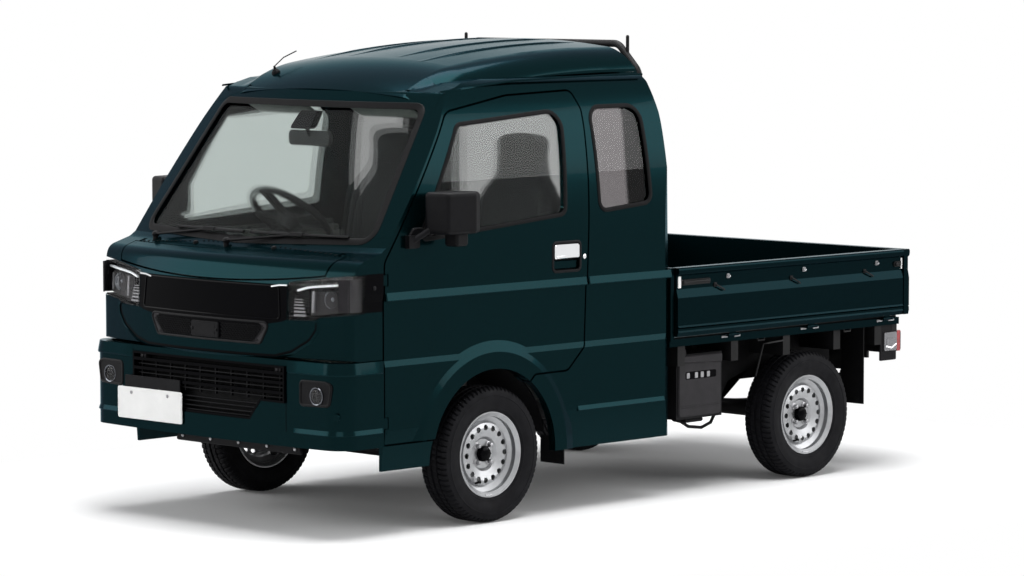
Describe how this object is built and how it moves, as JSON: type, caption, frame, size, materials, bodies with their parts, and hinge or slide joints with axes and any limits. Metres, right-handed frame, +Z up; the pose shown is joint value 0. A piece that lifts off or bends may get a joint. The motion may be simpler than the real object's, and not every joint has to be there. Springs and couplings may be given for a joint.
{
  "type": "small cab-over truck",
  "caption": "Small cab-over light truck with an extended high-roof cab, drop-side cargo bed, guard hoop, steel wheels, opening doors and a working steering gear.",
  "frame": {"origin": "on the ground, under the middle of the truck's length and width", "axes": "the truck's front faces -Y, its left side is +X, up is +Z"},
  "size_m": [1.7748, 3.395, 1.885],
  "materials": {
    "body_paint": "dark blue-green metallic, glossy",
    "bed_paint": "dark blue-green metallic, glossy",
    "frame_paint": "black, satin",
    "wheel_steel": "silver paint, satin",
    "tyre": "black rubber",
    "gloss_black": "gloss black",
    "trim_black": "grained black",
    "interior": "light grey, grained",
    "interior_dark": "dark grey, grained",
    "seat_fabric": "dark woven cloth",
    "window_glass": "clear, slightly green",
    "lamp_lens": "clear lens",
    "rear_lens": "red and clear lens",
    "iron": "bare casting",
    "flap_rubber": "black rubber",
    "steel": "plated steel"
  },
  "bodies": {
    "truck": {"cab_side_left": "body_paint", "cab_side_right": "body_paint", "roof": "body_paint", "cab_rear_wall": "body_paint", "cab_windows": "window_glass", "windscreen": "window_glass", "cowl": "trim_black", "wipers": "trim_black", "front_panel": "body_paint", "front_bumper": "body_paint", "front_grille": "gloss_black", "front_lamps": "lamp_lens", "cab_floor": "interior", "dashboard": "interior", "seat_cushion_left": "seat_fabric", "seat_cushion_right": "seat_fabric", "seat_back_left": "seat_fabric", "seat_back_right": "seat_fabric", "rear_axle": "frame_paint", "chassis_frame": "frame_paint", "engine_block": "iron", "bed_floor": "bed_paint", "guard_hoop": "frame_paint", "fuel_tank": "frame_paint", "air_box": "trim_black", "silencer": "steel", "tail_frame": "frame_paint", "rear_lamps": "rear_lens", "rear_lamp_boxes": "trim_black", "lamp_housings": "gloss_black", "bed_sills": "frame_paint", "front_arms": "frame_paint", "wheel_housings": "trim_black", "mud_flaps": "flap_rubber"},
    "knuckle_left": {"knuckle_left": "iron"},
    "knuckle_right": {"knuckle_right": "iron"},
    "steering_rack": {"steering_rack": "steel"},
    "steering_wheel": {"steering_wheel": "interior_dark"},
    "front_lid": {"front_lid": "body_paint"},
    "side_gate_left": {"side_gate_left": "bed_paint"},
    "side_gate_right": {"side_gate_right": "bed_paint"},
    "tailgate": {"tailgate": "bed_paint"},
    "wheel_front_left": {"wheel_front_left": "wheel_steel", "tyre_front_left": "tyre"},
    "wheel_front_right": {"wheel_front_right": "wheel_steel", "tyre_front_right": "tyre"},
    "wheel_rear_left": {"wheel_rear_left": "wheel_steel", "tyre_rear_left": "tyre"},
    "wheel_rear_right": {"wheel_rear_right": "wheel_steel", "tyre_rear_right": "tyre"},
    "door_left": {"door_left": "body_paint", "door_glass_left": "window_glass", "mirror_left": "trim_black"},
    "door_right": {"door_right": "body_paint", "door_glass_right": "window_glass", "mirror_right": "trim_black"}
  },
  "joints": [
    {"name": "steer_left", "type": "hinge", "parent": "truck", "child": "knuckle_left", "pos_m": [0.552, -0.8525, 0.268], "axis": [0, 0, 1], "range_deg": [-35, 35]},
    {"name": "steer_right", "type": "hinge", "parent": "truck", "child": "knuckle_right", "pos_m": [-0.552, -0.8525, 0.268], "axis": [0, 0, 1], "range_deg": [-35, 35]},
    {"name": "spin_front_left", "type": "hinge", "parent": "knuckle_left", "child": "wheel_front_left", "pos_m": [0.6525, -0.8525, 0.268], "axis": [1, 0, 0], "continuous": true},
    {"name": "spin_front_right", "type": "hinge", "parent": "knuckle_right", "child": "wheel_front_right", "pos_m": [-0.6525, -0.8525, 0.268], "axis": [1, 0, 0], "continuous": true},
    {"name": "spin_rear_left", "type": "hinge", "parent": "truck", "child": "wheel_rear_left", "pos_m": [0.65, 1.0525, 0.268], "axis": [1, 0, 0], "continuous": true},
    {"name": "spin_rear_right", "type": "hinge", "parent": "truck", "child": "wheel_rear_right", "pos_m": [-0.65, 1.0525, 0.268], "axis": [1, 0, 0], "continuous": true},
    {"name": "steering_wheel_turn", "type": "hinge", "parent": "truck", "child": "steering_wheel", "pos_m": [-0.33, -0.9475, 1.15], "axis": [0, 0.6691, 0.7431], "range_deg": [-600, 600]},
    {"name": "rack_slide", "type": "slide", "parent": "truck", "child": "steering_rack", "axis": [1, 0, 0], "range_m": [-0.0746, 0.0746]},
    {"name": "door_left_hinge", "type": "hinge", "parent": "truck", "child": "door_left", "pos_m": [0.729, -1.4285, 0.7], "axis": [0, 0, -1], "range_deg": [0, 65]},
    {"name": "door_right_hinge", "type": "hinge", "parent": "truck", "child": "door_right", "pos_m": [-0.729, -1.4285, 0.7], "axis": [0, 0, 1], "range_deg": [0, 65]},
    {"name": "front_lid_hinge", "type": "hinge", "parent": "truck", "child": "front_lid", "pos_m": [0, -1.5125, 1.072], "axis": [-1, 0, 0], "range_deg": [0, 50]},
    {"name": "side_gate_left_hinge", "type": "hinge", "parent": "truck", "child": "side_gate_left", "pos_m": [0.731, 0.9275, 0.645], "axis": [0, 1, 0], "range_deg": [0, 170]},
    {"name": "side_gate_right_hinge", "type": "hinge", "parent": "truck", "child": "side_gate_right", "pos_m": [-0.731, 0.9275, 0.645], "axis": [0, -1, 0], "range_deg": [0, 170]},
    {"name": "tailgate_hinge", "type": "hinge", "parent": "truck", "child": "tailgate", "pos_m": [0, 1.691, 0.645], "axis": [-1, 0, 0], "range_deg": [0, 170]}
  ],
  "couplings": [
    {"joint": "steer_right", "follows": "steer_left", "ratio": 1},
    {"joint": "rack_slide", "follows": "steer_left", "m_per_rad": -0.122},
    {"joint": "steering_wheel_turn", "follows": "steer_left", "ratio": 17}
  ]
}
